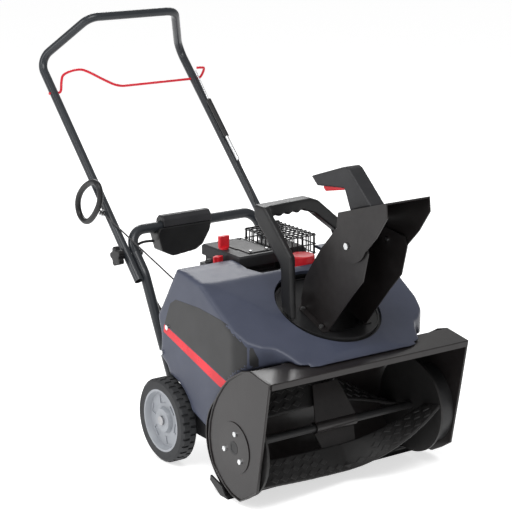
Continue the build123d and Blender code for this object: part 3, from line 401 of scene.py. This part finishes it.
def shoulder_tool(side, inward=0):
    """The wedge that takes the hood's sloping shoulder off, or one that lies further in."""
    normal = Vector((side * 0.154, -0.507, 0.848)).normalized()
    foot = Vector((side * 250, -213, 472))
    across = Vector((0, 1, 0)).cross(normal).normalized()
    along = normal.cross(across)
    build = bmesh.new()
    corners = []
    for height in (0, 400):
        for a, b in ((-900, -900), (900, -900), (900, 900), (-900, 900)):
            lift = normal * (height - inward)
            corners.append(build.verts.new((foot + across * a + along * b + lift) * MM))
    for quad in ((0, 1, 2, 3), (7, 6, 5, 4), (0, 4, 5, 1), (1, 5, 6, 2), (2, 6, 7, 3), (3, 7, 4, 0)):
        build.faces.new([corners[i] for i in quad])
    piece = bpy.data.objects.new("shoulder", from_bmesh("shoulder", build))
    bpy.context.scene.collection.objects.link(piece)
    return piece


def hood_mesh():
    """The hood: a rounded outer form, hollowed, then opened for the engine, the chute and the housing."""
    form = solid("hood_form", SIDE_VIEW, -HOOD_HALF, HOOD_HALF)
    cut(form, solid("plan", PLAN, 60, 540, "z"), "INTERSECT")
    for side in (-1, 1):
        cut(form, shoulder_tool(side))
    outer = rounded_copy(form, 4.0, 14)
    bpy.data.objects.remove(form)
    piece = bpy.data.objects.new("hood_outer", outer)
    bpy.context.scene.collection.objects.link(piece)
    inner_side = [(-560, 60), (-560, 318), (-491, 318), (-481, 336), (-450, 352), (-224, 458), (-150, 472)]
    inner_side += [(-116, 475), (60, 475), (60, 60)]
    hollow = solid("hollow", inner_side, -HOOD_HALF + 6, HOOD_HALF - 6)
    plan = [(x - 7 * (1 if x > 0 else -1) if x else 0, y + (6 if y < 0 else 0)) for x, y in PLAN]
    cut(hollow, solid("plan", plan, 50, 540, "z"), "INTERSECT")
    for side in (-1, 1):
        cut(hollow, shoulder_tool(side, 7))
    cut(piece, hollow)
    cut(piece, solid("opening", OPENING, 300, 560, "z"))
    cut(piece, disc("dish", DISH_R, -16, 90))
    mesh = piece.data
    bpy.data.objects.remove(piece)
    return mesh


hood = add_piece("hood_moulding", hood_mesh(), "frame", FINISH["hood_plastic"], ("hood",), sharp=50)

# ---------------------------------------------------------------- side decals
PANEL = [(-88, 392), (-112, 407), (-212, 411), (-300, 405), (-363, 393), (-392, 368), (-404, 335), (-404, 318)]
PANEL += [(-376, 303), (-332, 269), (-326, 268), (-62, 336), (-72, 360)]
STRIPE = [(-60, 334), (-57, 315), (-300, 245), (-318, 262), (-322, 266)]


def skin(name, outline, side, material):
    """A thin label laid on the hood's side, in small squares that follow its curve."""
    build = bmesh.new()
    build.faces.new([build.verts.new(Vector((0, y, z)) * MM) for y, z in outline])
    for axis, first, last in ((Vector((0, 1, 0)), -408, -50), (Vector((0, 0, 1)), 240, 416)):
        for level in range(first, last, 8):
            geometry = build.verts[:] + build.edges[:] + build.faces[:]
            bmesh.ops.bisect_plane(build, geom=geometry, plane_co=axis * level * MM, plane_no=axis)
    bmesh.ops.triangulate(build, faces=build.faces)
    off_side = []
    for vert in build.verts:
        start = Vector((side * 400 * MM, vert.co.y, vert.co.z))
        hit, place, facing, _ = hood.ray_cast(start, Vector((-side, 0, 0)))
        if hit and abs(facing.x) > 0.5:
            vert.co = place + Vector((side * 0.35, 0, 0)) * MM
        else:
            off_side.append(vert)
    bmesh.ops.delete(build, geom=off_side, context="VERTS")
    lower = build.faces[:]
    grown = bmesh.ops.extrude_face_region(build, geom=lower)["geom"]
    for vert in [item for item in grown if isinstance(item, bmesh.types.BMVert)]:
        vert.co.x -= side * 1.2 * MM
    return add_piece(name, from_bmesh(name, build), "frame", material)


for side, tag in ((-1, "right"), (1, "left")):
    skin(f"side_panel_{tag}", PANEL, side, DECAL_CHARCOAL)
    skin(f"side_stripe_{tag}", STRIPE, side, DECAL_RED)

# ---------------------------------------------------------------- rolled rim of the side plates
def tube_mesh(name, points, radius, steps=10, closed=False):
    """A round tube through points given in millimetres, with straight segments."""
    line = bpy.data.curves.new(name, "CURVE")
    line.dimensions = "3D"
    line.bevel_depth = radius * MM
    line.bevel_resolution = steps // 2
    line.use_fill_caps = True
    run = line.splines.new("POLY")
    run.points.add(len(points) - 1)
    for target, point in zip(run.points, points):
        target.co = (*(Vector(point) * MM), 1)
    run.use_cyclic_u = closed
    holder = bpy.data.objects.new(name, line)
    bpy.context.scene.collection.objects.link(holder)
    mesh = settled(holder)
    bpy.data.objects.remove(holder)
    mesh.name = name
    return mesh


PLATE_EDGE = [(-518, 315), (-445, 326), (-412, 316), (-384, 299), (-358, 282), (-336, 259), (-314, 230), (-296, 198)]
PLATE_EDGE += [(-284, 164), (-280, 129), (-285, 96), (-297, 66), (-316, 46), (-342, 28), (-372, 15), (-404, 11)]
PLATE_EDGE += [(-438, 30), (-470, 51), (-494, 180)]
for side, tag in ((-1, "right"), (1, "left")):
    bead = [(side * 280.5, y, z) for y, z in PLATE_EDGE]
    rim = tube_mesh("rim", bead, 2.6, closed=True)
    add_piece(f"plate_rim_{tag}", rim, "frame", FINISH["housing_paint"])

# ---------------------------------------------------------------- cords
BEND = (626, 442 + (626 - 190) * sin(radians(44.6)) / cos(radians(44.6)))
LEG = (cos(radians(44.6)), sin(radians(44.6)))


def leg_point(x, down, proud=0):
    """A point beside a handle leg: down from the bend, and proud of the leg's top."""
    return (x, BEND[0] - down * LEG[0] - proud * LEG[1], BEND[1] - down * LEG[1] + proud * LEG[0])


def spline(name, points, radius):
    """A smooth curve with the points as its control points, in millimetres."""
    line = bpy.data.curves.new(name, "CURVE")
    line.dimensions = "3D"
    line.resolution_u = 10
    line.bevel_depth = radius * MM
    line.bevel_resolution = 4
    line.use_fill_caps = True
    run = line.splines.new("NURBS")
    run.points.add(len(points) - 1)
    for target, point in zip(run.points, points):
        target.co = (*(Vector(point) * MM), 1)
    run.order_u = 3
    run.use_endpoint_u = True
    holder = bpy.data.objects.new(name, line)
    bpy.context.scene.collection.objects.link(holder)
    return holder


def cord_piece(name, points, radius, node, material, slot, body="frame", **facts):
    """A cord that stands for a CAD node, as a tube along a smooth curve."""
    bare = spline(name, points, 0)
    path = [v.co.copy() for v in settled(bare).vertices]
    bpy.data.objects.remove(bare)
    holder = spline(name, points, radius)
    mesh = settled(holder)
    bpy.data.objects.remove(holder)
    piece = add_piece(name, mesh, body, material, (node,), sharp=60)
    return piece


# ---------------------------------------------------------------- smooth bars and the starter grip
def looped(name, points, radius):
    """A closed smooth tube round control points given in millimetres."""
    holder = spline(name, points, radius)
    run = holder.data.splines[0]
    run.use_endpoint_u = False
    run.use_cyclic_u = True
    run.order_u = 4
    mesh = settled(holder)
    bpy.data.objects.remove(holder)
    return mesh


GRIP = [(266, 548), (250, 572), (250, 604), (272, 618), (300, 610), (330, 594), (356, 572), (370, 544), (362, 516)]
GRIP += [(340, 504), (316, 504), (288, 524)]
add_piece("starter_grip_loop", looped("grip", [(-252, y, z) for y, z in GRIP], 7.6), "pull_grip",
          FINISH["black_plastic"], ("starter_grip",), sharp=60)

LEG_X = 214.2
BAIL = [(-LEG_X - 14, 0, 0), (-205, 0, 0), (-193, 0, 0), (-184, 28, 7), (-172, 50, 12), (-122, 58, 16), (-98, 48, 13)]
BAIL += [(-60, 22, 6), (-22, 0, 0), (20, 0, 0), (140, 0, 0), (LEG_X + 12, 0, 0), (LEG_X + 22, 0, 3)]
BAIL += [(LEG_X + 25, 8, 33), (LEG_X + 14, 9, 36), (213, 9, 36)]
holder = spline("bail", [leg_point(x, 108 - up, proud) for x, up, proud in BAIL], 3.4)
bail_mesh = settled(holder)
bpy.data.objects.remove(holder)
add_piece("bail_rod", bail_mesh, "bail", FINISH["red_paint"], ("control_bail",), sharp=60)

# ---------------------------------------------------------------- clutch link and cable
LINK_X = 208
CABLE = [leg_point(LINK_X, 400.2, 26), leg_point(LINK_X - 8, 484, 27), (183, 208, 521), (170, 158, 459)]
CABLE += [(163, 102, 379), (160, 50, 300), (164, 0, 235), (176, -45, 185)]
link_parts = (("link_rod_upper", 104, 206, 2.0, "bright_zinc"), ("link_rod_lower", 318, 400, 4.2, "bright_zinc"))
for name, top, low, radius, finish in link_parts:
    run = [leg_point(LINK_X, top, 31 if top == 104 else 26), leg_point(LINK_X, low, 26)]
    add_piece(name, tube_mesh(name, run, radius, steps=16), "link", FINISH[finish], sharp=60)
run = [leg_point(LINK_X, 200, 26), leg_point(LINK_X, 322, 26)]
add_piece("link_sleeve", tube_mesh("sleeve", run, 6.5, steps=20), "link", FINISH["black_plastic"],
          ("clutch_link",), sharp=60)
cable = cord_piece("clutch_cable_line", CABLE, 1.5, "clutch_cable", FINISH["black_plastic"], "black_plastic",
                   body=None, stiffness="stiff", lay="loose")
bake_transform(cable)

LEAD = [(-120, 216, 458), (-146, 222, 461), (-165, 236, 446), (-168, 226, 408), (-168, 180, 362), (-167, 118, 316)]
LEAD += [(-165, 62, 274), (-164, 4, 238), (-162, -56, 208), (-152, -112, 186), (-124, -160, 188), (-89.5, -182, 208)]
cord_piece("starter_lead_line", LEAD, 3.5, "starter_lead", FINISH["black_plastic"], "black_plastic",
           stiffness="medium", lay="hanging")

EYELET = Vector((-132, 40, 366))
GUIDE = Vector((-234, 271, 534))
ROPE = [EYELET, EYELET.lerp(GUIDE, 0.5), GUIDE]
rope = cord_piece("starter_rope_line", ROPE, 2.0, "starter_rope", FINISH["rope_nylon"], "rope_nylon",
                  body=None, stiffness="medium", lay="taut")
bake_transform(rope)

# the length that comes out behind the grip lies inside the first rope until it is pulled
PULL = (GUIDE - EYELET).normalized()
hidden = [EYELET - PULL * 60, GUIDE + PULL * 12]
add_piece("pull_rope", tube_mesh("pull_rope", hidden, 1.8), "pull_grip", FINISH["rope_nylon"])

# ---------------------------------------------------------------- tread blocks of the auger band
AUGER = Vector((0, -381, 130))
PADDLE_ANGLE = 241
TWIST = {-1: 22, 1: 75}
BAND_HALF = 4.5


def band_point(x, radius, lift, start, end):
    """A point on an auger band at x along the shaft, that far out, and lifted off its face."""
    turn = radians(start - TWIST[-1 if x < 0 else 1] * abs(x) / end)
    out = Vector((0, cos(turn), sin(turn)))
    face = Vector((0, -sin(turn), cos(turn)))
    return AUGER + Vector((x, 0, 0)) + out * radius + face * lift


def tread_blocks(start, name):
    """Raised diamond blocks on both faces of one band, in staggered rows."""
    build = bmesh.new()
    for face in (-1, 1):
        for row in range(3):
            for column in range(-9, 10):
                x = column * 28 + (row % 2) * 14
                end = 264 if x < 0 else 226
                if abs(x) > end - 16:
                    continue
                radius = 64 + row * 19
                if abs(x) < 62 and radius < 98:
                    continue
                base = []
                top = []
                for dx, dr in ((-13, 0), (0, -8.5), (13, 0), (0, 8.5)):
                    foot = band_point(x + dx, radius + dr, face * (BAND_HALF - 0.5), start, end)
                    base.append(build.verts.new(foot * MM))
                    top.append(build.verts.new(
                        band_point(x + dx * 0.8, radius + dr * 0.8, face * (BAND_HALF + 2.2), start, end) * MM))
                build.faces.new(top)
                build.faces.new(list(reversed(base)))
                for i in range(4):
                    j = (i + 1) % 4
                    build.faces.new((base[i], base[j], top[j], top[i]))
    return add_piece(name, from_bmesh(name, build), "auger", FINISH["auger_rubber"], sharp=20)


tread_blocks(PADDLE_ANGLE, "tread_blocks_lower")
tread_blocks(PADDLE_ANGLE + 180, "tread_blocks_upper")

# ---------------------------------------------------------------- engine top
MUFFLER = (71, -60)


def wire_cage():
    """A cage of crossing round wires over the muffler, with flat feet."""
    build = bmesh.new()

    def wire(start, end, radius=1.7):
        first = Vector(start)
        last = Vector(end)
        turn = (last - first).to_track_quat("Z", "Y")
        made = bmesh.ops.create_cone(build, cap_ends=True, segments=8, radius1=radius * MM, radius2=radius * MM,
                                     depth=(last - first).length * MM)
        for vert in made["verts"]:
            vert.co = turn @ vert.co + (first + last) / 2 * MM

    cx, cy = MUFFLER
    wide, deep = 54, 73
    for i in range(-3, 4):
        x = cx + i * 16
        wire((x, cy - deep, 512), (x, cy + deep, 512))
        for side in (-1, 1):
            wire((x, cy + side * deep, 512), (x, cy + side * (deep + 1), 464))
    for i in range(-4, 5):
        y = cy + i * 17
        wire((cx - wide, y, 514), (cx + wide, y, 514))
        for side in (-1, 1):
            wire((cx + side * wide, y, 514), (cx + side * (wide + 1), y, 464))
    for z in (466, 489, 511):
        for side in (-1, 1):
            wire((cx - wide, cy + side * deep, z), (cx + wide, cy + side * deep, z))
            wire((cx + side * wide, cy - deep, z), (cx + side * wide, cy + deep, z))
    for side in (-1, 1):
        foot = [(cy - 10, 381), (cy + 10, 381), (cy + 10, 468), (cy - 10, 468)]
        face = cx + side * (wide + 1)
        prism(build, foot, face - 1.2, face + 1.2)
    return from_bmesh("wire_cage", build)


add_piece("muffler_cage", wire_cage(), "frame", FINISH["wire_black"], ("muffler_guard",), sharp=60)


def rounded_block(name, outline, low, high, rounds):
    """A moulded block with melted edges from a plan outline."""
    block = solid(name, outline, low, high, "z")
    mesh = rounded_copy(block, 2.0, rounds)
    bpy.data.objects.remove(block)
    mesh.name = name
    return mesh


CLEANER = [(-102, 8), (-102, -138), (2, -138), (2, 8)]
cleaner = rounded_block("cleaner", CLEANER, 398, 464, 16)
add_piece("air_cleaner_body", cleaner, "frame", FINISH["cover_grey"])
ribs = bmesh.new()
for step in range(8):
    z = 406 + step * 7
    prism(ribs, [(-103.5, 2), (-103.5, -132), (-96, -139.5), (-4, -139.5), (3.5, -132), (3.5, 2)], z, z + 2.4, "z")
add_piece("air_cleaner_ribs", from_bmesh("ribs", ribs), "frame", FINISH["black_plastic"], sharp=30)
PLATE = [(-70, 4), (-70, -30), (-74, -34), (-74, -84), (-70, -88), (-70, -134), (-4, -134), (-4, 4)]
plate = rounded_block("plate", PLATE, 489, 495, 4)
add_piece("cover_plate", plate, "frame", FINISH["black_plastic"])

HEAD_R = 4.2
bolt_heads = bmesh.new()
for x, y in ((-60, -8), (-14, -8), (-60, -124), (-14, -124)):
    made = bmesh.ops.create_cone(bolt_heads, cap_ends=True, segments=6, radius1=HEAD_R * MM, radius2=HEAD_R * MM,
                                 depth=4 * MM)
    bmesh.ops.translate(bolt_heads, verts=made["verts"], vec=Vector((x, y, 496)) * MM)
heads = from_bmesh("cover_bolts", bolt_heads)
add_piece("cover_bolts", heads, "frame", FINISH["bright_zinc"], sharp=20)

# ---------------------------------------------------------------- floor, light and camera
floor_mesh = bpy.data.meshes.new("floor")
floor_build = bmesh.new()
bmesh.ops.create_grid(floor_build, x_segments=1, y_segments=1, size=30)
floor_build.to_mesh(floor_mesh)
floor_build.free()
floor = bpy.data.objects.new("floor", floor_mesh)
floor.location.z = -0.0005
bpy.context.scene.collection.objects.link(floor)
paper, tree, shader, coords = finish_nodes("paper")
shader.inputs["Base Color"].default_value = (0.8, 0.8, 0.8, 1)
shader.inputs["Roughness"].default_value = 0.9
shader.inputs["Specular IOR Level"].default_value = 0.1
shader.inputs["Emission Color"].default_value = (1, 1, 1, 1)
shader.inputs["Emission Strength"].default_value = 0.64
floor_mesh.materials.append(paper)

world = bpy.data.worlds.new("studio")
world.use_nodes = True
sky = world.node_tree
seen = sky.nodes.new("ShaderNodeLightPath")
level = sky.nodes.new("ShaderNodeMapRange")
level.inputs["To Min"].default_value = 0.42
level.inputs["To Max"].default_value = 1.0
sky.links.new(seen.outputs["Is Camera Ray"], level.inputs["Value"])
sky.nodes["Background"].inputs["Color"].default_value = (1, 1, 1, 1)
sky.links.new(level.outputs["Result"], sky.nodes["Background"].inputs["Strength"])
bpy.context.scene.world = world


def soft_light(name, place, aim, size, power):
    """A square soft box that faces a point."""
    lamp = bpy.data.lights.new(name, "AREA")
    lamp.shape = "RECTANGLE"
    lamp.size, lamp.size_y = size
    lamp.energy = power
    holder = bpy.data.objects.new(name, lamp)
    holder.location = place
    holder.rotation_euler = (Vector(aim) - Vector(place)).to_track_quat("-Z", "Y").to_euler()
    bpy.context.scene.collection.objects.link(holder)


soft_light("key", (-1.2, -1.6, 3.4), (0, -0.1, 0.3), (2.4, 1.6), 84)
soft_light("side", (-3.4, 0.6, 1.8), (0, 0, 0.4), (1.6, 2.2), 40)
soft_light("back", (1.6, 3.2, 2.6), (0, 0, 0.5), (2.2, 1.4), 60)

AZIMUTH = radians(34.6)
DOWN = radians(14.8)
camera = bpy.data.objects.new("camera", bpy.data.cameras.new("camera"))
camera.data.sensor_width = 36
camera.data.lens = 120.4
camera.data.clip_end = 60
camera.location = (-2.2757, -3.3592, 1.5199)
gaze = Vector((sin(AZIMUTH) * cos(DOWN), cos(AZIMUTH) * cos(DOWN), -sin(DOWN)))
camera.rotation_euler = gaze.to_track_quat("-Z", "Y").to_euler()
bpy.context.scene.collection.objects.link(camera)
bpy.context.scene.camera = camera
bpy.context.scene.view_settings.view_transform = "Standard"
